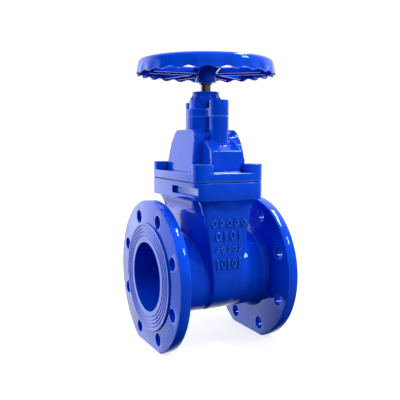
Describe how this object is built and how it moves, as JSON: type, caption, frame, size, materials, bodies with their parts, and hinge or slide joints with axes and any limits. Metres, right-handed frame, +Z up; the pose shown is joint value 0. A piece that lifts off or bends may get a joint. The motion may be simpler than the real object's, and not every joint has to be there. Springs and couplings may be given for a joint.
{
  "type": "gate valve",
  "caption": "Flanged gate valve: cast body with a through bore, bolted bonnet, gland, and a round handwheel that screws a rubber-coated wedge up and down.",
  "frame": {"origin": "under the stem, on the plane of the flats at the foot of the two flanges", "axes": "+X along the pipe from inlet to outlet, +Y across the pipe to the back, +Z up along the stem"},
  "size_m": [0.203, 0.22, 0.4121],
  "materials": {
    "epoxy_body": "gloss",
    "epoxy_wheel": "gloss",
    "screw_steel": "satin",
    "stainless": "satin",
    "zinc": "satin",
    "brass": "satin",
    "rubber": "matte",
    "ductile_iron": "matte",
    "shoe_polymer": "matte"
  },
  "bodies": {
    "valve": {"valve_body": "epoxy_body", "bonnet_gasket": "rubber", "bonnet": "epoxy_body", "bonnet_screw_1": "screw_steel", "bonnet_screw_2": "screw_steel", "bonnet_screw_3": "screw_steel", "bonnet_screw_4": "screw_steel", "gland": "epoxy_body", "gland_ring_seal": "rubber", "gland_screw_1": "screw_steel", "gland_screw_2": "screw_steel", "stem_bush": "brass", "stem_seal_1": "rubber", "stem_seal_2": "rubber", "bush_seal": "rubber", "stem_wiper": "rubber", "thrust_washer_lower": "brass", "thrust_washer_upper": "brass"},
    "stem": {"stem": "stainless", "dust_washer": "stainless", "handwheel_hub": "epoxy_wheel", "handwheel": "epoxy_wheel", "handwheel_washer": "zinc", "handwheel_screw": "zinc"},
    "wedge": {"wedge_core": "ductile_iron", "wedge_rubber": "rubber", "guide_shoe_1": "shoe_polymer", "guide_shoe_2": "shoe_polymer", "stem_nut": "brass"}
  },
  "joints": [
    {"name": "handwheel_turn", "type": "hinge", "parent": "valve", "child": "stem", "pos_m": [0, 0, 0.39], "axis": [0, 0, 1], "range_deg": [-7581.6, 0]},
    {"name": "wedge_travel", "type": "slide", "parent": "valve", "child": "wedge", "axis": [0, 0, 1], "range_m": [-0.10531, 0]}
  ],
  "couplings": [
    {"joint": "wedge_travel", "follows": "handwheel_turn", "m_per_rad": 0.00079577}
  ]
}
